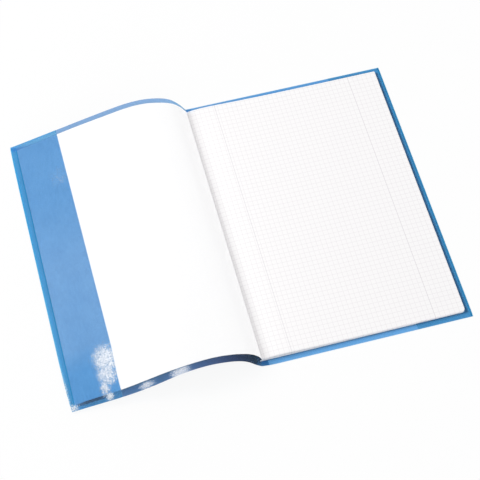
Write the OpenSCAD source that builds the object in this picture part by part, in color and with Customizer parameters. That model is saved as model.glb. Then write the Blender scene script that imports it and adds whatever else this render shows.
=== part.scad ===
// A stapled exercise book in a slip-on film jacket, lying open at its first page.
// The book lies on its back cover. The front cover is turned over to the left and
// springs up in a hump beside the spine before it comes down to the table.
// X runs to the right across the pages, Y to the head of the page, Z up from the table.
// The origin is under the gutter, halfway up the page, on the table.

/* [Pages] */
// Width of a leaf, from the spine's fold to the fore edge
page_w = 210; // [150:1:230]
// Height of a leaf
page_h = 292; // [200:1:320]
// Thickness of all the leaves together
block_t = 2.6; // [2:0.1:4]
// Radius of the leaves' and covers' outer corners
corner_r = 2.5; // [1:0.5:8]
// How far the top leaves arch up beside the spine
bulge_h = 2.4; // [0:0.1:3]
// Distance from the gutter to the top of that arch
bulge_x = 20; // [12:1:30]

/* [Cover] */
// Thickness of the cover card
card_t = 0.3; // [0.2:0.05:0.5]
// How far the front cover's free edge stands in from the leaves' fore edge
cover_inset = 2.5; // [0:0.5:4]
// Straight length of the front cover before its bend
rise_l = 2; // [1:0.5:10]
// Radius of the front cover's bend
crown_r = 52; // [40:1:60]
// Angle that the front cover bends through
crown_turn = 84; // [70:1:90]

/* [Jacket] */
// Thickness of the jacket's film
film_t = 0.2; // [0.15:0.05:0.3]
// How far the film reaches past the card at head and foot
end_margin = 6; // [4:0.5:10]
// How far the film reaches past the front cover's free edge
front_margin = 5; // [4:0.5:10]
// How far the film reaches past the back cover's fore edge
back_margin = 6.5; // [4:0.5:10]
// Width of the front pocket's flap, from the film's fold
front_flap_w = 50; // [30:1:80]
// Width of the back pocket's flap, from the film's fold
back_flap_w = 57; // [30:1:80]
// Width of the welds that close the pockets at head and foot
weld_w = 2; // [1:0.5:3]
// How far the film lies on the table to the left of the gutter
foot_l = 1.5; // [1:0.5:3]
// Radius of the film's turn up from the table beside the spine
foot_r = 2.8; // [2.4:0.1:4]
// Length of bare cover between the front fold and the jacket's film
film_start = 3; // [2:0.5:8]

/* [Staples] */
// Length of a staple along the spine
staple_l = 13.5; // [10:0.5:16]
// Distance of each staple from the middle of the spine
staple_y = 74; // [50:1:90]
// Thickness of the staple wire
wire_t = 0.5; // [0.4:0.05:0.7]
// Length of each turned-in end of a staple
clinch_l = 5; // [3:0.5:6]

/* [Fits] */
// Air between sheets that lie on each other
layer_gap = 0.1; // [0.05:0.01:0.15]
// Air across a fold between two pieces that turn on it
fold_gap = 0.3; // [0.2:0.05:0.5]
// Air around a staple in its holes
wire_gap = 0.05; // [0.02:0.01:0.1]

/* [Hidden] */

// Colours of the sheets, the film and the wire
card_colour = "white";
page_colour = "ghostwhite";
film_colour = [0.25, 0.52, 0.78, 0.7];
wire_colour = "silver";

// Facets of a bend, and of a tight fold
bend_steps = 28;
fold_steps = 12;

// Heights on the right side, from the table up
card_z = film_t + layer_gap;
flap_z = card_z + card_t + layer_gap;
block_z = flap_z + film_t + layer_gap;
nose_r = block_t / 2;
nose_z = block_z + nose_r;
top_z = block_z + block_t;

// The card's fold around the leaves' fold, round the same centre
spine_in_r = nose_z - card_z - card_t;
spine_out_r = spine_in_r + card_t;

// Fore edges on the right
fore_x = page_w - nose_r;
film_x = fore_x + back_margin;

// Folds of the two covers: the front one lies over the spine's card, the back one on the table
hinge_z = nose_z + spine_out_r + layer_gap;
back_fold_x = 1.15;

// Free length of the front cover, once the spine has taken its share of the sheet
spine_share = spine_out_r * 1.5;
front_l = page_w - spine_share - cover_inset;
front_end = front_l + front_margin;

// Levels through the front cover, out from its under face
film_low = -layer_gap - film_t;
film_high = -layer_gap;
flap_low = card_t + layer_gap;
flap_high = flap_low + film_t;

// Height of the jacket
jacket_h = page_h + 2 * end_margin;

// Length of the front cover's bend along the sheet
crown_l = crown_r * crown_turn * PI / 180;

// A point of the flat-laid frame of the front cover: s along the sheet from its fold,
// n out from its under face, with the sheet rising, bending down and running straight
function bent(s, n) =
    s < rise_l ? [s, n] :
    s < rise_l + crown_l ? let (a = (s - rise_l) / crown_r * 180 / PI)
        [rise_l + (crown_r + n) * sin(a), (crown_r + n) * cos(a) - crown_r] :
    let (t = s - rise_l - crown_l)
        [rise_l + (crown_r + n) * sin(crown_turn) + t * cos(crown_turn),
         (crown_r + n) * cos(crown_turn) - crown_r - t * sin(crown_turn)];

// The front cover is turned up about its fold until the film's far edge rests on the table
edge = bent(front_end, film_low);
lift = -asin(hinge_z / norm(edge)) - atan2(edge[1], edge[0]);

// The same point as it lies: across the book, and above the table
function lying(s, n) =
    let (p = bent(s, n))
    [p[1] * sin(lift) - p[0] * cos(lift), hinge_z + p[0] * sin(lift) + p[1] * cos(lift)];

// Places along the sheet where its section needs a point
function stations(from, to) =
    let (inner = [for (i = [0:bend_steps]) rise_l + crown_l * i / bend_steps])
    concat([from], [for (s = inner) if (s > from && s < to) s], [to]);

// Points of an arc about a centre, between two angles
function arc(x, y, r, from, to) =
    [for (i = [0:fold_steps]) let (a = from + (to - from) * i / fold_steps)
        [x + r * cos(a), y + r * sin(a)]];

function reversed(list) = [for (i = [len(list) - 1:-1:0]) list[i]];

// Height of the top leaf above its flat level: a quick rise from the gutter and a long fall
function arch(x) = bulge_h * x / bulge_x * exp(1 - x / bulge_x);

// A section across the book, drawn out along the spine
module along_spine(length, points) {
    rotate([90, 0, 0])
        linear_extrude(height = length, center = true)
            polygon(points);
}

// A strip of the front cover or its film, between two places along the sheet and two levels
module front_strip(from, to, low, high, length) {
    along_spine(length, concat(
        [for (s = stations(from, to)) lying(s, low)],
        reversed([for (s = stations(from, to)) lying(s, high)])));
}

// A flat strip on the right side, between two places across the book and two heights
module back_strip(from, to, low, high, length) {
    translate([from, -length / 2, low])
        cube([to - from, length, high - low]);
}

// Outline in plan, from a near edge to a far one, with the two far corners rounded
module rounded_plan(near, far) {
    side = sign(far - near);
    reach = abs(far) - corner_r;
    corner_y = page_h / 2 - corner_r;
    scale([side, 1])
        polygon(concat(
            [[side * near, -page_h / 2]],
            arc(reach, -corner_y, corner_r, -90, 0),
            arc(reach, corner_y, corner_r, 0, 90),
            [[side * near, page_h / 2]]));
}

// The wire of one staple: its back on the outside of the spine, two legs through the
// card and the leaves, and their ends turned in towards each other; grow widens it all round
module staple_wire(y, grow) {
    back_x = -spine_out_r - wire_t;
    leg_l = 2 * wire_t + spine_out_r;
    wide = wire_t + 2 * grow;
    translate([back_x - grow, y - staple_l / 2 - grow, nose_z - wide / 2]) {
        cube([wide, staple_l + 2 * grow, wide]);
        for (end = [0, staple_l - wire_t])
            translate([0, end, 0]) cube([leg_l + 2 * grow, wide, wide]);
    }
    for (end = [0, staple_l - clinch_l])
        translate([back_x + leg_l - wire_t - grow, y - staple_l / 2 + end - grow, nose_z - wide / 2])
            cube([wide, clinch_l + 2 * grow, wide]);
}

module both_staples(grow) {
    for (side = [-1, 1]) staple_wire(side * staple_y, grow);
}

// All the leaves as one block: round at the fold, flat below, arched beside the gutter
module page_block() {
    arch_end = 6 * bulge_x;
    color(page_colour)
    difference() {
        intersection() {
            along_spine(page_h, concat(
                arc(0, nose_z, nose_r, 90, 270),
                [[fore_x, block_z], [fore_x, top_z]],
                [for (i = [20:-1:1]) let (x = arch_end * pow(i / 20, 2)) [x, top_z + arch(x)]]));
            linear_extrude(height = top_z + 2 * bulge_h)
                rounded_plan(-2 * nose_r, fore_x);
        }
        both_staples(wire_gap);
    }
}

// The strip of cover card round the fold of the leaves, which the staples go through
module cover_spine() {
    color(card_colour)
    difference() {
        along_spine(page_h, concat(
            arc(0, nose_z, spine_out_r, 95, 270),
            [[back_fold_x - fold_gap / 2, card_z], [back_fold_x - fold_gap / 2, card_z + card_t]],
            arc(0, nose_z, spine_in_r, 270, 95)));
        both_staples(wire_gap);
    }
}

// The front half of the cover, white inside, bent over to the left
module front_cover() {
    color(card_colour)
    intersection() {
        front_strip(fold_gap, front_l, 0, card_t, page_h);
        linear_extrude(height = 2 * crown_r)
            rounded_plan(2 * crown_r, lying(front_l, 0)[0]);
    }
}

// The back half of the cover, flat under the leaves
module back_cover() {
    color(card_colour)
    intersection() {
        back_strip(back_fold_x + fold_gap / 2, fore_x, card_z, card_z + card_t, page_h);
        linear_extrude(height = top_z)
            rounded_plan(0, fore_x);
    }
}

// The jacket's film under and beside the spine, turned up towards the front cover
module jacket_spine() {
    color(film_colour)
    along_spine(jacket_h, concat(
        arc(-foot_l, foot_r, foot_r, 180, 270),
        [[back_fold_x - fold_gap / 2, 0], [back_fold_x - fold_gap / 2, film_t]],
        arc(-foot_l, foot_r, foot_r - film_t, 270, 180)));
}

// The jacket's front: a panel under the cover, folded back over its free edge as a flap
// and welded at head and foot, so that the card sits in a pocket
module jacket_front() {
    flap_s = front_end - front_flap_w;
    color(film_colour) {
        front_strip(film_start, front_end, film_low, film_high, jacket_h);
        front_strip(flap_s, front_end, flap_low, flap_high, jacket_h);
        front_strip(front_end - film_t, front_end, film_low, flap_high, jacket_h);
        for (side = [-1, 1])
            translate([0, side * (jacket_h - weld_w) / 2, 0])
                front_strip(flap_s, front_end, film_low, flap_high, weld_w);
    }
}

// The jacket's back: the same pocket, flat, with its flap between the card and the leaves
module jacket_back() {
    flap_x = film_x - back_flap_w;
    color(film_colour) {
        back_strip(back_fold_x + fold_gap / 2, film_x, 0, film_t, jacket_h);
        back_strip(flap_x, film_x, flap_z, flap_z + film_t, jacket_h);
        back_strip(film_x - film_t, film_x, 0, flap_z + film_t, jacket_h);
        for (side = [-1, 1])
            translate([0, side * (jacket_h - weld_w) / 2, 0])
                back_strip(flap_x, film_x, 0, flap_z + film_t, weld_w);
    }
}

// The staple nearer the head of the page
module staple_upper() {
    color(wire_colour) staple_wire(staple_y, 0);
}

// The staple nearer the foot of the page
module staple_lower() {
    color(wire_colour) staple_wire(-staple_y, 0);
}

page_block();
cover_spine();
front_cover();
back_cover();
jacket_spine();
jacket_front();
jacket_back();
staple_upper();
staple_lower();
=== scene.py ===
# %% [markdown]
# An open exercise book in a blue film jacket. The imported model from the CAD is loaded
# first and works as a frame: it says where every piece is and what it turns with. The
# pieces that are seen are then modelled over it, because paper and film bend in ways
# that plain solids do not show.

# %% Load the frame
import bisect
import functools
import bpy
import math
from mathutils import Matrix, Vector


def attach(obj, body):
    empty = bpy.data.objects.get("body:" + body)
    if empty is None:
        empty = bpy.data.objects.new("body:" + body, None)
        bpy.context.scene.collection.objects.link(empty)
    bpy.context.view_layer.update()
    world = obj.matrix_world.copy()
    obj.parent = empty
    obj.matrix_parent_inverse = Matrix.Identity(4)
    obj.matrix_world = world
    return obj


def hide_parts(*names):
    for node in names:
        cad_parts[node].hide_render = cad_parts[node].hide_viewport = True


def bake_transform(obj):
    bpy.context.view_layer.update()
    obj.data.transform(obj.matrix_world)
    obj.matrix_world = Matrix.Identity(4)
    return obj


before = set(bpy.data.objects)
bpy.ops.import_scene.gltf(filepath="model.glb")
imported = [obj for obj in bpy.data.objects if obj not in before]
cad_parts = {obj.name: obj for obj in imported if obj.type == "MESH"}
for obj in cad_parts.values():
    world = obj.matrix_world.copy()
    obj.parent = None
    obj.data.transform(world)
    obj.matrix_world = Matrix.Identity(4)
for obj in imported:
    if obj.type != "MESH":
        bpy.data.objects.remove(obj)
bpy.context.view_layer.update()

# %% [markdown]
# All sizes below are in millimetres, as on a drawing, and Blender works in metres. The
# sheets lie on each other in a fixed order on the table: film, card, film again where
# the pocket's flap is, and then the leaves.

# %% Sizes of the book
MM = 0.001
PAGE_H = 292.0
PAGE_W = 210.0
JACKET_H = 304.0
FILM_T = 0.2
CARD_T = 0.3
CARD_Y = PAGE_H / 2
CARD_BACK_Z = 0.3
BLOCK_Z = 1.0
BLOCK_T = 2.6
NOSE_R = BLOCK_T / 2
NOSE_Z = BLOCK_Z + NOSE_R
FORE_X = PAGE_W - NOSE_R
print("the leaves reach from the fold to", FORE_X, "mm")

# %% [markdown]
# Small helpers. Operators act on whatever is selected, and loading the frame leaves its
# pieces selected, so every new piece starts with nothing selected.

# %% Helpers for selecting
def deselect():
    """Leaves edit mode and clears the selection."""
    if bpy.context.object and bpy.context.object.mode == "EDIT":
        bpy.ops.object.mode_set(mode="OBJECT")
    bpy.ops.object.select_all(action="DESELECT")


def pick(obj, wanted, kind="VERT"):
    """Selects the vertices, edges or faces whose corners all pass a test, in edit mode."""
    bpy.ops.object.mode_set(mode="OBJECT")
    mesh = obj.data
    for group in (mesh.vertices, mesh.edges, mesh.polygons):
        group.foreach_set("select", [False] * len(group))
    good = [wanted(v.co / MM) for v in mesh.vertices]
    if kind == "VERT":
        mesh.vertices.foreach_set("select", good)
    else:
        group = mesh.edges if kind == "EDGE" else mesh.polygons
        group.foreach_set("select", [all(good[i] for i in part.vertices) for part in group])
    bpy.ops.object.mode_set(mode="EDIT")
    bpy.ops.mesh.select_mode(type=kind)


def select_only(obj):
    """Selects one piece and makes it the active one."""
    deselect()
    obj.select_set(True)
    bpy.context.view_layer.objects.active = obj


def apply_all(obj):
    """Applies every modifier of a piece, in order."""
    select_only(obj)
    for name in [m.name for m in obj.modifiers]:
        bpy.ops.object.modifier_apply(modifier=name)


print("helpers ready")

# %% [markdown]
# The camera comes first. It stands in front and a little to the left of the book and
# looks down on it at sixty degrees, from about a metre and a half away. The lens is long,
# so the page's far edge is hardly shorter than its near edge. It points a little beside
# the middle of the picture, so the picture is shifted by some of its pixels.

# %% The camera
PHOTO_SIDE = 480
SHIFT_RIGHT, SHIFT_DOWN = 50, 25
CAMERA_PLACE = (-0.21272, -0.68021, 1.35642)
RIGHT = Vector((0.967977, -0.251033, 0.001492))
DOWN = Vector((-0.220223, -0.851996, -0.474980))
AHEAD = Vector((0.120506, 0.459442, -0.879996))
bpy.ops.object.camera_add()
camera = bpy.context.object
camera.name = "camera"
turned = Matrix((RIGHT, -DOWN, -AHEAD)).transposed()
camera.matrix_world = Matrix.Translation(CAMERA_PLACE) @ turned.to_4x4()
camera.data.sensor_width = 36.0
camera.data.lens = 113.01
camera.data.shift_x = SHIFT_RIGHT / PHOTO_SIDE
camera.data.shift_y = -SHIFT_DOWN / PHOTO_SIDE
bpy.context.scene.camera = camera
print("camera at", tuple(round(c, 3) for c in camera.location))

# %% [markdown]
# Colours are written as they look on a screen, and shaders take them in linear light, so
# one function changes the one into the other. Another adds a shader node. Its inputs are
# given in order or by name, each as a plain value or as the node that feeds it, which
# keeps a finish short enough to read. The size of every pattern is given in millimetres.

# %% Helpers for finishes
def tint(code):
    """Turns a hex colour such as 4f8fd0 into a shader's linear colour."""
    parts = [int(code[i:i + 2], 16) / 255 for i in (0, 2, 4)]
    linear = [c / 12.92 if c <= 0.04045 else ((c + 0.055) / 1.055) ** 2.4 for c in parts]
    return (*linear, 1.0)


def node(tree, kind, inputs=(), **options):
    """Adds a node; an input is a plain value, or the node or socket that feeds it."""
    made = tree.nodes.new("ShaderNode" + kind)
    for name, option in options.items():
        setattr(made, name, option)
    named = inputs if isinstance(inputs, dict) else dict(enumerate(inputs))
    for key, value in named.items():
        if isinstance(value, bpy.types.Node):
            value = value.outputs[0]
        if isinstance(value, bpy.types.NodeSocket):
            tree.links.new(value, made.inputs[key])
        else:
            made.inputs[key].default_value = value
    return made


def finish_named(name):
    """A new material with no nodes yet, and its node tree."""
    made = bpy.data.materials.new(name)
    made.use_nodes = True
    made.node_tree.nodes.clear()
    return made, made.node_tree


def set_stops(ramp, stops):
    """Gives a colour ramp its stops, in order, each a place and a red, green and blue."""
    for stop, (at, colour) in zip(ramp.elements, (stops[0], stops[-1])):
        stop.position, stop.color = at, (*colour, 1.0)
    for at, colour in stops[1:-1]:
        ramp.elements.new(at).color = (*colour, 1.0)


def grains(size):
    """The scale of a noise whose grains are about so many millimetres wide."""
    return 1.0 / (size * MM)


print("finish helpers ready")

# %% [markdown]
# The leaves are uncoated offset paper, pressed smooth between rollers: matt white, with
# hardly any gloss. Its fibres are too fine to show, so the tooth is drawn a millimetre
# wide. The printed school ruling has five millimetre squares in a faint grey lilac, and a
# slightly stronger margin line on either side. It is worked out from the place on the
# page: the distance to the nearest line decides the colour. That keeps it sharp at any
# size, where a picture would blur.

# %% Finish of the leaves
PAPER = ("f9f7f8", "fcfbfb")
RULING, RULING_INK = "dad5d9", 0.62
MARGIN_LINE, MARGIN_INK = "cfcad0", 0.7
SQUARE = 5.0
RULING_X, RULING_Y = 3.0, -0.32
MARGINS = (30.1, 177.8)
RULING_HALF, MARGIN_HALF, LINE_SOFT = 0.05, 0.12, 0.2


def page_finish():
    made, tree = finish_named("offset_paper")
    place = node(tree, "TexCoord").outputs["Object"]
    in_mm = node(tree, "VectorMath", {0: place, "Scale": 1 / MM}, operation="SCALE")
    x, y, _ = node(tree, "SeparateXYZ", [in_mm]).outputs
    lines = []
    for value, first in ((x, RULING_X), (y, RULING_Y)):
        along = node(tree, "Math", [value, first], operation="SUBTRACT")
        aside = node(tree, "Math", [along, SQUARE / 2], operation="PINGPONG")
        ends = (RULING_HALF, RULING_HALF + LINE_SOFT)
        lines.append(node(tree, "MapRange", [aside, *ends, RULING_INK, 0.0]))
    ruling = node(tree, "Math", lines, operation="MAXIMUM")
    asides = []
    for margin_x in MARGINS:
        along = node(tree, "Math", [x, margin_x], operation="SUBTRACT")
        asides.append(node(tree, "Math", [along], operation="ABSOLUTE"))
    nearest = node(tree, "Math", asides, operation="MINIMUM")
    ends = (MARGIN_HALF, MARGIN_HALF + LINE_SOFT)
    margin = node(tree, "MapRange", [nearest, *ends, MARGIN_INK, 0.0])
    fibre = node(tree, "TexNoise", {"Vector": place, "Scale": grains(1.1), "Detail": 4.0})
    sheet = node(tree, "MixRGB", [fibre, *map(tint, PAPER)])
    ruled = node(tree, "MixRGB", [ruling, sheet, tint(RULING)])
    printed = node(tree, "MixRGB", [margin, ruled, tint(MARGIN_LINE)])
    tooth = node(tree, "Bump", {"Height": fibre, "Strength": 0.08, "Distance": 0.1 * MM})
    paper = node(tree, "BsdfPrincipled", {
        "Base Color": printed, "Normal": tooth, "Roughness": 0.75, "Specular IOR Level": 0.25})
    node(tree, "OutputMaterial", [paper])
    return made


offset_paper = page_finish()
print("made", offset_paper.name)

# %% [markdown]
# The cover is coated cardboard, rolled smooth: chalk white inside, with a slight tooth
# that is drawn two millimetres wide to show at all. Its outside can't be seen from above.
# It gets a plain printed and varnished dark blue, as such books often have, which gives a
# soft gloss. The card of the back cover is one piece from the CAD, so its finish is told
# at what height the outside ends. The edge stays white where the card is cut.

# %% Finishes of the card
INSIDE, OUTSIDE = ("f8f8f9", "fcfcfc"), ("1d2c4a", "26375a")
PRINT_T = 0.05


def card_finish(name, colours, rough, under=None):
    """A card's finish; below the height under, in millimetres, it is the outside."""
    made, tree = finish_named(name)
    place = node(tree, "TexCoord").outputs["Object"]
    grain = node(tree, "TexNoise", {"Vector": place, "Scale": grains(2.0), "Detail": 5.0})
    seen = node(tree, "MixRGB", [grain, *map(tint, colours)])
    if under is not None:
        height = node(tree, "SeparateXYZ", [place]).outputs[2]
        below = node(tree, "Math", [height, under * MM], operation="LESS_THAN")
        outside = node(tree, "MixRGB", [grain, *map(tint, OUTSIDE)])
        seen = node(tree, "MixRGB", [below, seen, outside])
    tooth = node(tree, "Bump", {"Height": grain, "Strength": 0.1, "Distance": 0.1 * MM})
    card = node(tree, "BsdfPrincipled", {
        "Base Color": seen, "Normal": tooth, "Roughness": rough, "Specular IOR Level": 0.3})
    node(tree, "OutputMaterial", [card])
    return made


card_inside = card_finish("coated_card_inside", INSIDE, 0.6)
card_outside = card_finish("varnished_card_outside", OUTSIDE, 0.45)
card_two_faces = card_finish("coated_card_two_faces", INSIDE, 0.55, CARD_BACK_Z + PRINT_T)
print("made", card_inside.name, "and", card_outside.name, "and", card_two_faces.name)

# %% [markdown]
# The jacket's film looks different in many places, and each place is a mask: a number
# that is one inside it and zero outside. Most are bands between two limits, across or
# along the sheet, and some are round spots. A band can be kept within another mask.

# %% Masks on the film
def band(tree, value, low, high, soft, within=1.0):
    """One between two limits, with soft ends, and zero outside them or the other mask."""
    rise = node(tree, "MapRange", [value, low - soft, low + soft])
    fall = node(tree, "MapRange", [value, high - soft, high + soft, 1.0, 0.0])
    inside = node(tree, "Math", [rise, fall], operation="MULTIPLY")
    return node(tree, "Math", [inside, within], operation="MULTIPLY")


def spot(tree, x, y, middle_x, middle_y, half_x, half_y, strength):
    """A soft round spot on the film, from zero at its rim to its strength in the middle."""
    far = 0.0
    for value, middle, half in ((x, middle_x, half_x), (y, middle_y, half_y)):
        off = node(tree, "Math", [value, 1 / half, -middle / half], operation="MULTIPLY_ADD")
        far = node(tree, "Math", [off, off, far], operation="MULTIPLY_ADD")
    return node(tree, "MapRange", [far, 0.0, 1.0, strength, 0.0])


print("mask helpers ready")

# %% [markdown]
# A deeper line shows where the film bends over the card's edge and at both outer folds.
# The weld at the foot of the front pocket is milkier, and where the pocket gapes there
# its shade is painted as a dark line. The free margins at head and foot are paler, since
# light also comes in below them, and the shadow of the leaves on the film is painted as a
# greyer line beside their fore edge. The film is tinted deeper along the spine, less so
# past the head. All these places were read from the photograph as millimetres on the film
# at rest. The card's edge runs a little askew, and the lines follow it.

# %% Zones of the film
FAR = 400.0
CARD_EDGE_X = -183.5
EDGE_SLANT = 2.3
LEFT_FOLD_X = -188.8
FLAP_LEFT_X, FLAP_RIGHT_X = -139.5, 158.2
SPINE_STRIP = (-12.0, 6.0)
RIGHT_MARGIN_X = 206.5
LEAF_SHADOW_LINE = (206.0, 211.8)
RIGHT_FOLD_X = 213.4
GAP_SHADE_X, GAP_SHADE_Y = (-180.0, -157.0), (-148.3, -145.7)


def film_zones(tree, x, y):
    """Parts of the film, each a mask from zero to one."""
    from_middle = node(tree, "Math", [y], operation="ABSOLUTE")
    slant = node(tree, "Math", [y, -EDGE_SLANT / PAGE_H, EDGE_SLANT / 2],
                 operation="MULTIPLY_ADD")
    from_edge = node(tree, "Math", [x, slant], operation="ADD")
    left_margin = band(tree, from_edge, -FAR, CARD_EDGE_X, 0.3)
    left_fold = band(tree, from_edge, -FAR, LEFT_FOLD_X, 0.3)
    past_card = band(tree, from_middle, CARD_Y + 0.3, FAR, 0.25)
    past_head = band(tree, y, CARD_Y + 0.6, FAR, 0.3)
    past_foot = band(tree, y, -FAR, -CARD_Y - 0.8, 0.4)
    at_card = band(tree, from_middle, -1.0, CARD_Y + 0.5, 0.3)
    leaf_shadow_rows = band(tree, from_middle, -1.0, CARD_Y + 0.5, 1.0)
    over_edge = band(tree, from_edge, CARD_EDGE_X - 1.0, CARD_EDGE_X, 0.25, at_card)

    no_flap = band(tree, x, FLAP_LEFT_X, FLAP_RIGHT_X, 0.3)
    flaps = node(tree, "Math", [1.0, no_flap], operation="SUBTRACT")
    weld = node(tree, "Math", [past_card, flaps], operation="MULTIPLY")
    weld_front = band(tree, x, -FAR, 0.0, 1.0, weld)
    weld_foot = band(tree, y, -FAR, 0.0, 1.0, weld_front)
    weld_back = node(tree, "Math", [weld, weld_front], operation="SUBTRACT")
    beyond_leaves = band(tree, x, RIGHT_MARGIN_X, FAR, 0.3)
    off_margin = node(tree, "Math", [1.0, left_margin], operation="SUBTRACT")
    paler = node(tree, "Math", [past_head, -0.45, 0.6], operation="MULTIPLY_ADD")
    return {
        "past_card": node(tree, "Math", [past_card, left_margin], operation="MAXIMUM"),
        "weld": weld_foot,
        # Double film beyond the card; its paler tint is painted light.
        "double": node(tree, "Math", [weld_foot, left_margin], operation="MAXIMUM"),
        "bend": node(tree, "Math", [over_edge, left_fold], operation="MAXIMUM"),
        # Painted shade where the pocket gapes at the foot.
        "gap_shade": band(tree, x, *GAP_SHADE_X, 5.0, band(tree, y, *GAP_SHADE_Y, 0.4)),
        "head_corner": node(tree, "Math", [weld_front, weld_foot], operation="SUBTRACT"),
        "head_front": band(tree, x, FLAP_LEFT_X, -1.0, 0.5, past_head),
        "head_back": band(tree, x, 1.0, FLAP_RIGHT_X, 0.3, past_head),
        "foot_front": band(tree, x, FLAP_LEFT_X, -6.0, 1.0, past_foot),
        "foot_back": band(tree, x, 5.0, FLAP_RIGHT_X, 0.3, past_foot),
        # The area of the painted glare, on the front flap.
        "glare_area": band(tree, x, -FAR, FLAP_LEFT_X, 0.5, off_margin),
        # Double film on the right; its paler tint is painted light as well.
        "right_margin": node(tree, "Math", [weld_back, beyond_leaves], operation="MAXIMUM"),
        # Painted shadow of the leaves on the film, beside their fore edge.
        "leaves": band(tree, x, *LEAF_SHADOW_LINE, 0.7, leaf_shadow_rows),
        "right_fold": band(tree, x, RIGHT_FOLD_X, FAR, 0.3),
        "spine": band(tree, x, *SPINE_STRIP, 0.25, paler),
    }


print("the film's outer folds are at", LEFT_FOLD_X, "and", RIGHT_FOLD_X, "mm")

# %% [markdown]
# The film is dyed blue, a little uneven, and each zone has a tint of its own. One sheet
# has two faces, so light is tinted four times on its way to the card and back. Beyond the
# card two sheets lie on each other. Each is tinted half as deep there, painted light for
# the light that comes in below the margins, so the double margin looks as deep as the
# single film over the card.
#
# Reflections of the lamp are painted on the surface too. A thin whitish painted glare lies
# on the front flap, and speckled white painted glints lie mostly at the foot of that pocket
# and along the film's foot, down to specks of less than a millimetre. Each glint is a spot
# with its middle, its half width and height, and its strength. The panel below the card
# has none.

# %% Dye, painted glints and painted glare of the film
FILM_DYE = ("bfddf1", "c8e3f5")
# The tints for the gap and for the line beside the leaves are painted shade.
ZONE_DYES = {
    "double": "dcf2fc", "head_corner": "ceebfa", "head_front": "c5ddf6", "head_back": "c8e5f8",
    "foot_front": "c4e0fc", "foot_back": "cfe9fa", "right_margin": "daf0fa",
    "leaves": "d0e4ef", "right_fold": "bbe8f4", "bend": "c4f0fc", "gap_shade": "a2b0c6",
    "spine": "86c3e4",
}
# Painted highlights: each spot is a reflection of the lamp, painted white on the film.
GLINT_SPOTS = [(-147.5, -111.0, 17.0, 22.0, 1.15), (-149.5, -126.0, 14.0, 17.0, 1.05),
          (-154.0, -139.0, 7.0, 14.0, 1.0), (-146.0, 98.0, 17.0, 14.0, 0.38),
          (-190.5, -132.0, 2.5, 26.0, 0.6), (-188.0, -149.0, 8.0, 6.0, 1.0),
          (-151.5, -148.5, 6.0, 5.0, 1.2), (-115.0, -149.5, 11.0, 4.0, 1.1),
          (-82.0, -149.5, 14.0, 7.0, 1.15)]
SPECK, SPECK_CONTRAST = 0.75, 3.4
DRIFT, DRIFT_CONTRAST = 6.7, 0.5
GLINT_FROM, GLINT_SHARE = -2.55, 1.05
# How strong the painted glare is up the flap, from foot to head.
GLARE_RAMP = [(0.12, 0.1), (0.2, 0.85), (0.5, 1.0), (0.75, 0.55)]


def film_dye(tree, zones, mottle):
    """Tint of one face of the film."""
    depth = node(tree, "MapRange", [mottle, 0.3, 0.7])
    dyed = node(tree, "MixRGB", [depth, *map(tint, FILM_DYE)])
    for zone, colour in ZONE_DYES.items():
        dyed = node(tree, "MixRGB", [zones[zone], dyed, tint(colour)])
    return dyed


def film_glints_and_glare(tree, zones, x, y, flap, place):
    """How much painted glint and painted glare the film shows, each from zero to one."""
    glint_mask = 0.0
    for scuff in GLINT_SPOTS:
        glint_mask = node(tree, "Math", [glint_mask, spot(tree, x, y, *scuff)], operation="MAXIMUM")
    speck = node(tree, "TexNoise", {"Vector": place, "Scale": grains(SPECK), "Detail": 4.0})
    drift = node(tree, "TexNoise", {"Vector": place, "Scale": grains(DRIFT), "Detail": 2.0})
    wear = GLINT_FROM
    for part, weight in ((drift, DRIFT_CONTRAST), (speck, SPECK_CONTRAST), (glint_mask, GLINT_SHARE)):
        wear = node(tree, "Math", [part, weight, wear], operation="MULTIPLY_ADD")
    glinting = node(tree, "MapRange", [wear, 0.0, 0.5])
    near_glint = node(tree, "MapRange", [glint_mask, 0.0, 0.12])
    bare = node(tree, "Math", [flap, zones["past_card"]], operation="MAXIMUM")
    for mask in (near_glint, bare):
        glinting = node(tree, "Math", [glinting, mask], operation="MULTIPLY")
    up_the_page = node(tree, "Math", [y, 1 / JACKET_H, 0.5], operation="MULTIPLY_ADD")
    painted_glare = node(tree, "ValToRGB", [up_the_page])
    set_stops(painted_glare.color_ramp, [(at, (level,) * 3) for at, level in GLARE_RAMP])
    for mask in (zones["glare_area"], flap):
        painted_glare = node(tree, "Math", [painted_glare, mask], operation="MULTIPLY")
    return glinting, painted_glare


print("the film has", len(ZONE_DYES), "zones of tint and", len(GLINT_SPOTS), "painted_glints")

# %% [markdown]
# The jacket is soft PVC film, rolled clear and dyed, with a very fine pressed grain that
# takes the edge off its gloss. Light goes through it, so most of the shader is a
# Transparent one with the blue tint, and a small light share keeps the milky grain and
# the gloss. The grain is drawn in streaks a millimetre and a half wide, to show at all.
#
# The pattern has to stay with the film wherever the film is bent. So the finish doesn't
# ask where a point is in the room. Each film carries a note called place, which holds its
# x and y at rest, in millimetres, and a one on the flap.

# %% Finish of the film
MILK, WELD_MILK, GLINT_WHITE = "c3d9ea", "55a6de", "f4f5f8"
RIM_DYE, RIM_SHARE = "a4d8f0", 0.8


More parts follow.
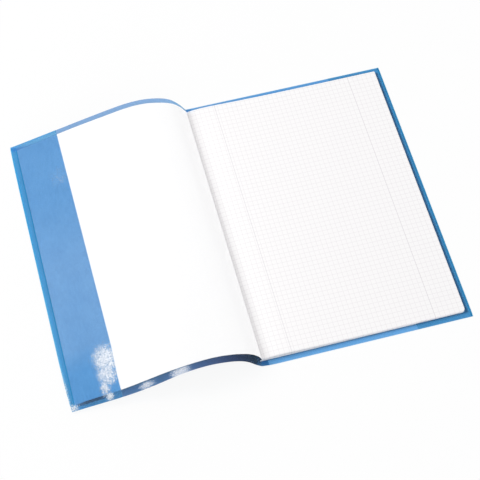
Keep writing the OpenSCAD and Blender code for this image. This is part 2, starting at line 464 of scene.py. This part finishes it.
def film_finish():
    made, tree = finish_named("soft_pvc_film")
    noted = node(tree, "Attribute", attribute_name="place").outputs["Vector"]
    x, y, flap = node(tree, "SeparateXYZ", [noted]).outputs
    place = node(tree, "VectorMath", {0: noted, "Scale": MM}, operation="SCALE")
    along = node(tree, "Mapping", {"Vector": place, "Scale": (1.0, 0.25, 1.0)})
    streak = node(tree, "TexNoise", {"Vector": along, "Scale": grains(1.4), "Detail": 3.0})
    cloud = node(tree, "TexNoise", {"Vector": place, "Scale": grains(25.0), "Detail": 2.0})
    mottle = 0.0
    for part, weight in ((streak, 0.6), (cloud, 0.4)):
        mottle = node(tree, "Math", [part, weight, mottle], operation="MULTIPLY_ADD")
    facing = node(tree, "LayerWeight", {"Blend": 0.5}).outputs["Facing"]
    edge_on = node(tree, "Math", [facing, 3.0], operation="POWER")
    zones = film_zones(tree, x, y)
    deeper = node(tree, "Math", [edge_on, RIM_SHARE], operation="MULTIPLY")
    dyed = node(tree, "MixRGB", [deeper, film_dye(tree, zones, mottle), tint(RIM_DYE)])
    clear = node(tree, "BsdfTransparent", [dyed])

    # Painted glints and painted glare: white spots and a whitish haze that stand in for
    # reflections of the lamp.
    glinting, painted_glare = film_glints_and_glare(tree, zones, x, y, flap, place)
    glint_or_glare = node(tree, "Math", [glinting, painted_glare], operation="MAXIMUM")
    milk = node(tree, "MixRGB", [zones["weld"], tint(MILK), tint(WELD_MILK)])
    milk = node(tree, "MixRGB", [glint_or_glare, milk, tint(GLINT_WHITE)])
    pressed = node(tree, "Bump", {"Height": mottle, "Strength": 0.3, "Distance": 0.3 * MM})
    body = node(tree, "BsdfPrincipled", {
        "Base Color": milk, "Normal": pressed, "Roughness": 0.32, "IOR": 1.53,
        "Specular IOR Level": 0.8})
    share = node(tree, "MapRange", [edge_on, 0.0, 1.0, 0.03, 0.16])
    for part, weight in ((painted_glare, 0.05), (zones["weld"], 0.12)):
        share = node(tree, "Math", [part, weight, share], operation="MULTIPLY_ADD")
    white = node(tree, "Math", [glinting, 0.72], operation="MULTIPLY")
    share = node(tree, "Math", [share, white], operation="MAXIMUM")
    node(tree, "OutputMaterial", [node(tree, "MixShader", [share, clear, body])])
    return made


soft_pvc_film = film_finish()
print("made", soft_pvc_film.name)

# %% [markdown]
# The staples are drawn steel wire with a thin coat of zinc: bright, with fine scratches
# along it from the drawing die. They are drawn a sixth of a millimetre wide.

# %% Finish of the wire
ZINC = ("9a9da1", "c9ccd0")


def wire_finish():
    made, tree = finish_named("drawn_steel_wire")
    place = node(tree, "TexCoord").outputs["Object"]
    along = node(tree, "Mapping", {"Vector": place, "Scale": (1.0, 0.05, 1.0)})
    scratch = node(tree, "TexNoise", {"Vector": along, "Scale": grains(0.17), "Detail": 3.0})
    tone = node(tree, "MixRGB", [scratch, *map(tint, ZINC)])
    rough = node(tree, "MapRange", [scratch, 0.0, 1.0, 0.22, 0.42])
    steel = node(tree, "BsdfPrincipled", {"Base Color": tone, "Roughness": rough, "Metallic": 1.0})
    node(tree, "OutputMaterial", [steel])
    return made


staple_wire = wire_finish()
print("made", staple_wire.name)

# %% [markdown]
# A sheet is drawn the way a sail maker lofts one. Its section is drawn at the foot and
# at the head as a row of points, by pulling one vertex along, and neighbouring rows are
# bridged. A Solidify modifier then gives the sheet its thickness. Two sections that
# differ give a sheet that twists a little, as the real cover does.

# %% Lofting a sheet between sections
NEAR = 0.01
SHARP_ANGLE = 40


def start_piece(name):
    """A new piece whose mesh is still empty, in edit mode."""
    deselect()
    bpy.ops.mesh.primitive_plane_add(size=MM, location=(0, 0, 0))
    piece = bpy.context.object
    piece.name = name
    bpy.ops.object.mode_set(mode="EDIT")
    bpy.ops.mesh.select_all(action="SELECT")
    bpy.ops.mesh.delete(type="VERT")
    return piece


def pull_row(points):
    """Adds one vertex to the mesh in edit mode and pulls a row of edges out of it."""
    first = Vector(points[0]) * MM
    bpy.ops.mesh.select_mode(type="VERT")
    bpy.ops.mesh.primitive_plane_add(size=MM, location=first)
    bpy.ops.mesh.merge(type="CENTER")
    for a, b in zip(points, points[1:]):
        step = (Vector(b) - Vector(a)) * MM
        bpy.ops.mesh.extrude_region_move(TRANSFORM_OT_translate={"value": step})
    bpy.ops.mesh.select_all(action="DESELECT")


def loft(name, rows, cuts):
    """Rows of points, each at its own height on the page, bridged into one sheet."""
    sheet = start_piece(name)
    for row in rows:
        pull_row(row)
    for low, high, inner in zip(rows, rows[1:], cuts):
        ends = (low[0][1], high[0][1])
        pick(sheet, lambda p: min(abs(p.y - e) for e in ends) < NEAR, "EDGE")
        bpy.ops.mesh.bridge_edge_loops(number_cuts=inner, interpolation="LINEAR")
    bpy.ops.object.mode_set(mode="OBJECT")
    sheet.data.name = name
    return sheet


def give_body(sheet, thickness, *finishes):
    """Turns a sheet into a closed thin solid; a second finish goes on its other face."""
    for finish in finishes:
        sheet.data.materials.append(finish)
    solid = sheet.modifiers.new("thickness", "SOLIDIFY")
    solid.thickness = thickness * MM
    solid.offset = 0.0
    solid.use_even_offset = True
    solid.material_offset = 1
    apply_all(sheet)
    return sheet


def shade(obj):
    """Smooth shading with sharp rims."""
    select_only(obj)
    bpy.ops.object.shade_smooth_by_angle(angle=math.radians(SHARP_ANGLE))
    return obj


print("lofting helpers ready")

# %% [markdown]
# The front cover springs up from the spine, bends over and runs down to the table. It is
# not quite the same at the two ends: the hump is a little higher at the head. The sections
# were measured from the photograph and are drawn here through about twenty points each,
# with a smooth curve through them. Any place along a section can then be asked for.

# %% Sections of the front cover
HINGE = (0.0, 4.4)
HEAD = [HINGE, (-2.6, 9.2), (-7.5, 17.8), (-13.8, 25.5), (-20.0, 30.2), (-26.2, 33.3),
        (-32.3, 35.6), (-40.5, 38.1), (-48.6, 39.2), (-57.8, 39.1), (-68.9, 37.2), (-81.1, 34.0),
        (-93.3, 30.6), (-105.4, 27.3), (-117.6, 23.8), (-129.8, 20.0), (-142.0, 15.9),
        (-154.1, 11.8), (-166.3, 7.9), (-177.5, 4.2), (-183.2, 2.45)]
FOOT = [HINGE, (-3.2, 13.0), (-8.6, 20.9), (-15.0, 26.9), (-21.2, 30.6), (-27.3, 33.6),
        (-33.5, 35.6), (-41.6, 37.6), (-51.8, 38.4), (-64.0, 37.5), (-76.1, 35.2),
        (-88.2, 32.1), (-100.4, 28.2), (-112.5, 23.4), (-126.7, 17.9), (-142.0, 12.9),
        (-155.0, 9.4), (-171.0, 5.9), (-185.6, 2.35)]


def smooth(points, fineness=12):
    """A smooth curve through all the points, as many short steps."""
    fine = []
    ends = [points[0]] + list(points) + [points[-1]]
    for p0, p1, p2, p3 in zip(ends, ends[1:], ends[2:], ends[3:]):
        for i in range(fineness):
            t = i / fineness
            fine.append(tuple(
                0.5 * (2 * b + (c - a) * t + (2 * a - 5 * b + 4 * c - d) * t * t
                       + (3 * b - a - 3 * c + d) * t ** 3)
                for a, b, c, d in zip(p0, p1, p2, p3)))
    return fine + [tuple(points[-1])]


class Section:
    """A section of cover or film: a place s along it from the fold, and n above the line."""

    def __init__(self, points):
        self.fine = smooth(points)
        self.along = [0.0]
        for a, b in zip(self.fine, self.fine[1:]):
            self.along.append(self.along[-1] + math.dist(a, b))
        self.length = self.along[-1]

    def at(self, s, n):
        i = min(max(bisect.bisect_right(self.along, s), 1), len(self.along) - 1)
        (x0, z0), (x1, z1) = self.fine[i - 1], self.fine[i]
        step = self.along[i] - self.along[i - 1]
        t = (s - self.along[i - 1]) / step
        dx, dz = (x1 - x0) / step, (z1 - z0) / step
        return (x0 + t * (x1 - x0) + n * dz, z0 + t * (z1 - z0) - n * dx)


head, foot = Section(HEAD), Section(FOOT)
print("cover length at head and foot:", round(head.length, 1), round(foot.length, 1))

# %% [markdown]
# Points of the cover are asked for by their place along it. The two sections differ a
# little in length, so the place is given as a share of the whole, and a row between head
# and foot mixes the two.

# %% Any point of the front cover
COVER_L = 204.5


def cover_point(s, n, y):
    """The point s along the front cover, n above its under face, at height y."""
    share = min(max((y + CARD_Y) / PAGE_H, 0.0), 1.0)
    low = foot.at(s * foot.length / COVER_L, n)
    high = head.at(s * head.length / COVER_L, n)
    return tuple(a + share * (b - a) for a, b in zip(low, high))


def stations(start, end, step):
    """Even places from start to end, about a step apart."""
    count = max(1, round(abs(end - start) / step))
    return [start + (end - start) * i / count for i in range(count + 1)]


def arc(x, z, r, start, end, count):
    """Points of an arc in the section, from one angle to another."""
    angles = [math.radians(start + (end - start) * i / count) for i in range(count + 1)]
    return [(x + r * math.cos(a), z + r * math.sin(a)) for a in angles]


print("the crown of the cover is", round(cover_point(60, 0, 146)[1], 1), "mm high")

# %% [markdown]
# The card of the front cover goes on round the spine. It is one sheet from the free edge
# to the foot of the spine, as in the real book. Its free corners are rounded before it
# gets its thickness: a bevel on a single vertex cuts an arc.

# %% Card of the front cover and the spine
SPINE_R = 1.85
FOLD_DOWN_X = 1.0
COVER_CORNER_R = 1.5
FREE_END_X = -180.0


def card_row(y):
    places = [COVER_L, COVER_L - 5.0] + stations(COVER_L - 12.0, 1.0, 2.5)
    over = [cover_point(s, CARD_T / 2, y) for s in places]
    ring = arc(0.0, NOSE_Z, SPINE_R, 100, 270, 14)
    return [(x, y, z) for x, z in over + ring + [(FOLD_DOWN_X, NOSE_Z - SPINE_R)]]


def round_corners(sheet, near_corner, radius):
    """Rounds the sheet's free corners; the test picks them."""
    pick(sheet, near_corner)
    bpy.ops.mesh.bevel(offset=radius * MM, segments=6, profile=0.5, affect="VERTICES")
    bpy.ops.object.mode_set(mode="OBJECT")


cover = loft("cover_card", [card_row(-CARD_Y), card_row(CARD_Y)], [23])
round_corners(cover, lambda p: p.x < FREE_END_X and abs(p.y) > CARD_Y - 0.5, COVER_CORNER_R)
give_body(cover, CARD_T, card_inside, card_outside)
shade(cover)
print("cover card:", len(cover.data.polygons), "faces")

# %% [markdown]
# The jacket's front is one piece of film. It starts at the flap on the inside of the
# cover, folds round the free edge, runs back under the card, over the hump and down to
# the table beside the spine. At head and foot it reaches past the card, and the free film
# at the foot hangs lower than the card, most of all beside the spine. So its rims have
# sections of their own, and a row of film between card and rim mixes the two.

# %% Sections of the film's rims
HEAD_RIM = Section([
    (-1.2, 3.0), (-2.6, 6.0), (-7.5, 14.9), (-13.8, 23.7), (-20.0, 29.5), (-26.2, 33.0),
    (-32.3, 35.4), (-40.5, 37.6), (-48.6, 38.5), (-57.8, 38.3), (-68.9, 36.7), (-81.1, 33.6),
    (-93.3, 30.1), (-105.4, 26.5), (-117.6, 22.8), (-129.8, 18.9), (-142.0, 15.2),
    (-154.1, 11.5), (-166.3, 7.7), (-177.5, 4.2), (-183.2, 2.6)])
FOOT_RIM = Section([
    (-2.4, 3.7), (-3.6, 4.9), (-8.2, 10.8), (-14.6, 20.1), (-21.0, 26.5), (-27.2, 30.4),
    (-33.4, 33.0), (-41.5, 35.2), (-51.8, 36.8), (-64.0, 36.3), (-76.1, 33.8), (-88.2, 29.3),
    (-100.4, 23.4), (-112.5, 18.2), (-126.7, 13.2), (-143.0, 9.4), (-153.1, 7.8),
    (-163.2, 6.3), (-173.4, 4.9), (-185.6, 3.0)])
SPINE_IN = [(-2.3, 5.9), (-3.0, 4.6), (-3.35, 3.2), (-3.2, 1.9), (-2.5, 0.8), (-1.4, 0.2),
            (-0.3, 0.1), (1.0, 0.1)]
SPINE_HEAD = [(-1.4, 3.4), (-1.0, 2.6), (-0.6, 1.9), (-0.3, 1.4), (0.0, 1.0), (0.3, 0.7),
              (0.6, 0.5), (1.0, 0.35)]
SPINE_FOOT = [(-3.0, 4.3), (-2.6, 3.8), (-2.2, 3.4), (-1.7, 3.0), (-1.1, 2.7), (-0.4, 2.4),
              (0.3, 2.2), (1.0, 2.05)]


def looseness(y):
    """How far a row of film is free of the card at head or foot, from 0 to 1."""
    return min(max((abs(y) - CARD_Y) / (JACKET_H / 2 - CARD_Y), 0.0), 1.0)


def between(a, b, share):
    """A point between two points."""
    return tuple(u + share * (v - u) for u, v in zip(a, b))


def film_point(s, n, y):
    """The point s along the front film; past the card it goes over to the film's rim."""
    rim = HEAD_RIM if y > 0 else FOOT_RIM
    return between(cover_point(s, n, y), rim.at(s * rim.length / COVER_L, n), looseness(y))


print("the film's rims are", round(HEAD_RIM.length, 1), "and", round(FOOT_RIM.length, 1), "mm")

# %% [markdown]
# A row of the front film starts at the flap's free edge, folds round and comes back. Past
# the card the flap is welded flat to the panel below. Elsewhere the fold is a soft bead,
# thicker than the pocket beside it. The film's free edge bows out a little along its
# length, and the flap's edge runs askew and steps in near the foot.

# %% Rows of the front film
FRONT_MARGIN = 6.5
EDGE_BOW = 0.8
FLAP_START = 158.3
FLAP_SLANT = 1.8
FLAP_STEP, FLAP_STEP_Y = 1.3, -100.0
WELD_Y, WELD_GAP = 150.0, 0.02
PANEL_N = -0.2
FLAP_N = 0.5
BEAD = 1.2
BEAD_RISE = ((2.8, 0.25), (1.6, 0.7), (0.8, 0.93))


def free_edge(y):
    """Place of the film's fold past the card: bowed out along the edge, in at the corners."""
    to_foot = 0.5 - y / JACKET_H
    bow = (EDGE_BOW + to_foot) * (1.0 - abs(2 * y / JACKET_H) ** 8)
    return COVER_L + FRONT_MARGIN - EDGE_SLANT * to_foot + bow


def front_film_row(y):
    welded = abs(y) >= WELD_Y
    flap_n = PANEL_N + FILM_T + WELD_GAP if welded else FLAP_N
    bead_n = flap_n if welded else PANEL_N + BEAD
    fold_r = (bead_n - PANEL_N) / 2
    end = free_edge(y) - fold_r - FILM_T / 2
    step = FLAP_STEP if y < FLAP_STEP_Y else 0.0
    start = FLAP_START - FLAP_SLANT * (0.5 - y / JACKET_H) + step
    flap = [film_point(s, flap_n, y) for s in stations(start, end - 4.0, 4.0)]
    flap += [film_point(end - back, flap_n + (bead_n - flap_n) * up, y)
             for back, up in BEAD_RISE]
    turns = [math.radians(angle) for angle in range(0, 181, 30)]
    fold = [film_point(end + fold_r * math.sin(a), PANEL_N + fold_r * (1 + math.cos(a)), y)
            for a in turns]
    panel = [film_point(s, PANEL_N, y) for s in stations(end - 3.0, 5.0, 3.0)]
    turn = [between(a, b, looseness(y))
            for a, b in zip(SPINE_IN, SPINE_HEAD if y > 0 else SPINE_FOOT)]
    return [(x, y, max(z, FILM_T / 2)) for x, z in flap + fold + panel + turn]


print("a row of the front film has", len(front_film_row(0.0)), "points")

# %% [markdown]
# The rows stand close together at head and foot, where the film changes most, and wide
# apart over the card. Once the sheet has its shape, each vertex notes its place for the
# finish. It is on the flap if it lies higher than the middle of the card there.

# %% Film of the front
FILM_ROWS = [-152.0, -150.0, -149.0, -147.5, -146.0, -130.0, -100.0, -50.0, 0.0, 50.0,
             100.0, 130.0, 146.0, 147.5, 149.0, 150.0, 152.0]
FILM_CUTS = [0, 0, 0, 0, 1, 2, 3, 3, 3, 3, 2, 1, 0, 0, 0, 0]


@functools.lru_cache(maxsize=None)
def card_line(y):
    """The middle of the cover's card near its free edge at height y: its x's and its z's."""
    line = [film_point(s, CARD_T / 2, y) for s in stations(COVER_L + 8.0, 140.0, 2.0)]
    return [x for x, _ in line], [z for _, z in line]


def over_card(x, y, z):
    """Whether a point of the front film lies over the card, so on the flap."""
    xs, zs = card_line(round(y, 1))
    i = min(max(bisect.bisect_left(xs, x), 1), len(xs) - 1)
    along = (x - xs[i - 1]) / (xs[i] - xs[i - 1])
    return x < xs[-1] and z > zs[i - 1] + along * (zs[i] - zs[i - 1])


def note_place(film, on_flap):
    """Notes in each vertex its x and y at rest, and a one if it is on the flap."""
    select_only(film)
    bpy.ops.geometry.attribute_add(name="place", domain="POINT", data_type="FLOAT_VECTOR")
    notes = []
    for x, y, z in (v.co / MM for v in film.data.vertices):
        notes += [x, y, float(on_flap(x, y, z))]
    film.data.attributes["place"].data.foreach_set("vector", notes)


front_film = loft("film_front", [front_film_row(y) for y in FILM_ROWS], FILM_CUTS)
give_body(front_film, FILM_T, soft_pvc_film)
shade(front_film)
note_place(front_film, over_card)
print("front film:", len(front_film.data.polygons), "faces")

# %% [markdown]
# The jacket's back is the same kind of pocket, but flat on the table. The card of the
# back cover sits in it, and the flap lies between that card and the leaves. At head and
# foot the film rises a little towards the spine, where it leaves the table.

# %% Film of the back
FILM_X = 215.2
BACK_FLAP = 57.0
PANEL_Z = 0.1
FLAP_Z = 0.8
LIFT = [(1.06, 2.04), (3.0, 1.6), (5.0, 1.1), (7.0, 0.65), (9.5, 0.3), (13.0, 0.1)]
HEAD_LIFT = 0.12


def back_film_row(y):
    welded = abs(y) >= WELD_Y
    flap_z = PANEL_Z + FILM_T + WELD_GAP if welded else FLAP_Z
    bead_z = flap_z if welded else PANEL_Z + BEAD
    fold_r = (bead_z - PANEL_Z) / 2
    end = FILM_X - FILM_T / 2 - fold_r
    loose = looseness(y) * (HEAD_LIFT if y > 0 else 1.0)
    rise = [(x, PANEL_Z + loose * (z - PANEL_Z)) for x, z in LIFT]
    panel = rise + [(x, PANEL_Z) for x in stations(20.0, end - 3.0, 8.0)]
    fold = arc(end, PANEL_Z + fold_r, fold_r, -90, 90, 6)
    flap = [(end - back, flap_z + (bead_z - flap_z) * up) for back, up in reversed(BEAD_RISE)]
    flap += [(x, flap_z) for x in stations(end - 4.0, FILM_X - BACK_FLAP, 6.0)]
    return [(x, y, z) for x, z in panel + fold + flap]


back_film = loft("film_back", [back_film_row(y) for y in FILM_ROWS], FILM_CUTS)
give_body(back_film, FILM_T, soft_pvc_film)
shade(back_film)
note_place(back_film, lambda x, y, z: x > FILM_X / 2 and z > CARD_BACK_Z + CARD_T / 2)
print("back film:", len(back_film.data.polygons), "faces")

# %% [markdown]
# The leaves are folded sheets, one inside the other, stapled through the fold. Sixteen
# folded sheets make thirty-two leaves. Each is drawn from its lower fore edge to the
# fold, round it and back along its upper leaf. Beside the gutter the upper leaves arch
# up, the top one the most, so they fan out a little at head and foot. The first leaf also
# stands a third of a millimetre off the others at the foot.

# %% Leaves
SHEETS = 16
PITCH = BLOCK_T / (2 * SHEETS)
LEAF_T = 0.076
BULGE_H = 2.4
BULGE_X = 20.0
FOLD_X = 0.8
HEAD_OVER = 0.5
FOOT_LIFT, LIFT_RUN = 0.35, 20.0
FORE_STAGGER, HEAD_STAGGER = 0.1, 0.03
ARCH_PLACES = [1.8, 3, 5, 8, 11, 15, 19, 23, 28, 34, 41, 50, 60, 75, 95, 120, 150, 180]
FOOT_CORNER_R, HEAD_CORNER_R = 3.0, 1.0


def arch(x, height):
    """Height of a leaf above its flat level beside the gutter."""
    return height * x / BULGE_X * math.exp(1 - x / BULGE_X)


def leaf_row(i, y):
    r = NOSE_R - (i + 0.5) * PITCH
    fore = FORE_X - FORE_STAGGER * (1 - math.sin(2.4 * i))
    height = BULGE_H * (1 - i / SHEETS) ** 1.6
    under = [(x, NOSE_Z - r) for x in [fore, fore - 5.0] + stations(fore - 15.0, 5.0, 30.0)]
    nose = arc(FOLD_X, NOSE_Z, r, 270, 90, 8)
    lift = FOOT_LIFT if i == 0 and y < 0 else 0.0
    over = []
    for x in ARCH_PLACES + [fore - 5.0, fore]:
        raised = lift * min((x - ARCH_PLACES[0]) / LIFT_RUN, 1.0)
        over.append((x, NOSE_Z + r + arch(x, height) + raised))
    reach = y - math.copysign(HEAD_STAGGER * (1 + math.sin(1.7 * i)), y)
    return [(x, reach, z) for x, z in under + nose + over]


folded = []
for i in range(SHEETS):
    sheet = loft("leaf_%d" % i, [leaf_row(i, -CARD_Y), leaf_row(i, CARD_Y + HEAD_OVER)], [3])
    round_corners(sheet, lambda p: p.x > FORE_X - 1.0 and p.y < 1.0 - CARD_Y, FOOT_CORNER_R)
    round_corners(sheet, lambda p: p.x > FORE_X - 1.0 and p.y > CARD_Y - 1.0, HEAD_CORNER_R)
    folded.append(give_body(sheet, LEAF_T, offset_paper))
deselect()
for sheet in folded:
    sheet.select_set(True)
bpy.context.view_layer.objects.active = folded[0]
bpy.ops.object.join()
leaves = bpy.context.object
leaves.name = "leaves"
leaves.data.name = "leaves"
shade(leaves)
print("leaves:", len(leaves.data.polygons), "faces")

# %% [markdown]
# Each staple is one bent wire: its back lies on the outside of the spine, its legs go
# through the fold, and their ends are turned in towards each other. A row of vertices
# gives the wire's line, its corners are rounded, and a curve gives it its round section.

# %% Staples
WIRE_T = 0.5
WIRE_BEND = 0.35
STAPLE_L = 13.5
CLINCH_L = 5.0
STAPLE_Y = 74.0
STAPLE_IN_X, STAPLE_OUT_X = 0.25, -2.25


def staple(name, y):
    low, high = y - (STAPLE_L - WIRE_T) / 2, y + (STAPLE_L - WIRE_T) / 2
    line = [(STAPLE_IN_X, low + CLINCH_L), (STAPLE_IN_X, low), (STAPLE_OUT_X, low),
            (STAPLE_OUT_X, high), (STAPLE_IN_X, high), (STAPLE_IN_X, high - CLINCH_L)]
    wire = start_piece(name)
    pull_row([(x, along, NOSE_Z) for x, along in line])
    pick(wire, lambda p: min(abs(p.y - low), abs(p.y - high)) < NEAR)
    bpy.ops.mesh.bevel(offset=WIRE_BEND * MM, segments=4, profile=0.5, affect="VERTICES")
    bpy.ops.object.mode_set(mode="OBJECT")
    bpy.ops.object.convert(target="CURVE")
    wire.data.bevel_depth = WIRE_T / 2 * MM
    wire.data.bevel_resolution = 4
    wire.data.use_fill_caps = True
    bpy.ops.object.convert(target="MESH")
    wire = bpy.context.object
    wire.name = name
    wire.data.materials.append(staple_wire)
    return shade(wire)


upper = staple("staple_wire_upper", STAPLE_Y)
lower = staple("staple_wire_lower", -STAPLE_Y)
print("staples:", [len(w.data.polygons) for w in (upper, lower)], "faces each")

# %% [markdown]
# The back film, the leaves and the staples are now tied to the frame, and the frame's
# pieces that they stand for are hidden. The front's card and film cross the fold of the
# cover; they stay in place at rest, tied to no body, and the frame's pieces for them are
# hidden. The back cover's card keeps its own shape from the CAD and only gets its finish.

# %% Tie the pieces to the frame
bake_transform(cover)
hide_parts("front_cover", "cover_spine")
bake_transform(front_film)
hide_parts("jacket_front", "jacket_spine")
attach(back_film, "back")
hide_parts("jacket_back")
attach(leaves, "pages")
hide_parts("page_block")
for wire, name in ((upper, "staple_upper"), (lower, "staple_lower")):
    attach(wire, "pages")
    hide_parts(name)

back_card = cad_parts["back_cover"]
back_card.data.materials.clear()
back_card.data.materials.append(card_two_faces)

# %% [markdown]
# The table is a painted board, smooth, pale and matt, a hair below the book. Its grain is
# a broad mottle, almost too faint to see. The background of the picture is white. So for
# rays that come straight from the camera, and for reflections, the table glows almost to
# white and keeps only a small part of its shading, a faint shadow beside the book. Rays
# that have gone through the film see it as it is lit, with painted shade in the hollow
# under the front cover: darker and bluer there, darkest beside the spine.

# %% The table
TABLE_R, TABLE_DROP = 3.0, 0.3
BOARD = ("f4f4f5", "f8f8f8")
GLOW_SHARE = 0.9
WHITE = (1.0, 1.0, 1.0)
SEES_WHITE = ("Is Camera Ray", "Is Glossy Ray", "Is Transmission Ray")
HOLLOW_REACH, HOLLOW_Y = 200.0, 149.0
HOLLOW_SHADE = [(0.1, WHITE), (0.45, (0.8, 0.94, 1.0)), (0.68, (0.74, 0.78, 0.95)),
          (0.8, (0.55, 0.49, 0.62)), (0.86, (0.35, 0.3, 0.4)), (0.93, (0.16, 0.14, 0.19)),
          (0.975, (0.1, 0.1, 0.11)), (1.0, WHITE)]


def board_finish():
    made, tree = finish_named("painted_board")
    place = node(tree, "TexCoord").outputs["Object"]
    in_mm = node(tree, "VectorMath", {0: place, "Scale": 1 / MM}, operation="SCALE")
    x, y, _ = node(tree, "SeparateXYZ", [in_mm]).outputs
    grain = node(tree, "TexNoise", {"Vector": place, "Scale": grains(17.0), "Detail": 3.0})
    tone = node(tree, "MixRGB", [grain, *map(tint, BOARD)])
    # Painted shade: seen through the film, the table under the front cover is darker and bluer,
    # darkest beside the spine.
    towards_spine = node(tree, "Math", [x, 1 / HOLLOW_REACH, 1.0], operation="MULTIPLY_ADD")
    depth = node(tree, "ValToRGB", [towards_spine])
    set_stops(depth.color_ramp, HOLLOW_SHADE)
    under_cover = band(tree, y, -HOLLOW_Y, HOLLOW_Y, 3.0)
    hollow_shade = node(tree, "MixRGB", [under_cover, (*WHITE, 1.0), depth])
    shaded = node(tree, "MixRGB", [1.0, tone, hollow_shade], blend_type="MULTIPLY")
    through = node(tree, "BsdfDiffuse", [shaded])
    lit = node(tree, "BsdfDiffuse", [tone])
    glow = node(tree, "Emission", [(*WHITE, 1.0), 1.0])
    bright = node(tree, "MixShader", [GLOW_SHARE, lit, glow])
    rays = node(tree, "LightPath")
    no_film = node(tree, "Math", [rays.outputs["Transparent Depth"], 0.5], operation="LESS_THAN")
    straight = 0.0
    for kind in SEES_WHITE:
        straight = node(tree, "Math", [straight, rays.outputs[kind]], operation="MAXIMUM")
    straight = node(tree, "Math", [straight, no_film], operation="MULTIPLY")
    node(tree, "OutputMaterial", [node(tree, "MixShader", [straight, through, bright])])
    return made


bpy.ops.mesh.primitive_circle_add(
    vertices=96, radius=TABLE_R, fill_type="NGON", location=(0, 0, -TABLE_DROP * MM))
table_top = bpy.context.object
table_top.name = "table_top"
table_top.data.materials.append(board_finish())
print("made", table_top.name, "of", table_top.data.materials[0].name)

# %% [markdown]
# The light is that of a white tent, a little brighter in front and on the right. The
# main lamp is wide and stands high on the left, a little behind. It gives the leaves
# their shadow on the right. A low lamp on the right fills the side of the hump that goes
# down into the gutter.

# %% Light
SKY_LEVEL, SKY_LEAST = 0.73, 0.1
MORE_IN_FRONT, MORE_ON_RIGHT = 0.35, 0.4
world = bpy.data.worlds.new("studio")
bpy.context.scene.world = world
world.use_nodes = True
sky = world.node_tree
sky.nodes.clear()
right, back, _ = node(sky, "SeparateXYZ", [node(sky, "TexCoord").outputs["Generated"]]).outputs
level = node(sky, "Math", [back, -MORE_IN_FRONT, 1.0], operation="MULTIPLY_ADD")
level = node(sky, "Math", [right, MORE_ON_RIGHT, level], operation="MULTIPLY_ADD")
level = node(sky, "Math", [level, SKY_LEAST], operation="MAXIMUM")
level = node(sky, "Math", [level, SKY_LEVEL], operation="MULTIPLY")
around = node(sky, "Background", [(*WHITE, 1.0), level])
shown = node(sky, "Background", [(*WHITE, 1.0), 1.0])
rays = node(sky, "LightPath")
sight = 0.0
for kind in SEES_WHITE:
    sight = node(sky, "Math", [sight, rays.outputs[kind]], operation="MAXIMUM")
node(sky, "OutputWorld", [node(sky, "MixShader", [sight, around, shown])])


def lamp_from(name, place, size, power):
    """A wide soft lamp that looks at the book."""
    bpy.ops.object.light_add(type="AREA", location=place)
    lamp = bpy.context.object
    lamp.name = name
    lamp.data.size = size
    lamp.data.energy = power
    lamp.rotation_mode = "QUATERNION"
    lamp.rotation_quaternion = (-Vector(place)).to_track_quat("-Z", "Y")
    print(name, "at", place)


lamp_from("main_lamp", place=(-1.28, 0.5, 1.46), size=0.7, power=16.0)
lamp_from("side_lamp", place=(2.0, 0.3, 0.4), size=0.8, power=4.5)
bpy.context.scene.view_settings.view_transform = "Standard"
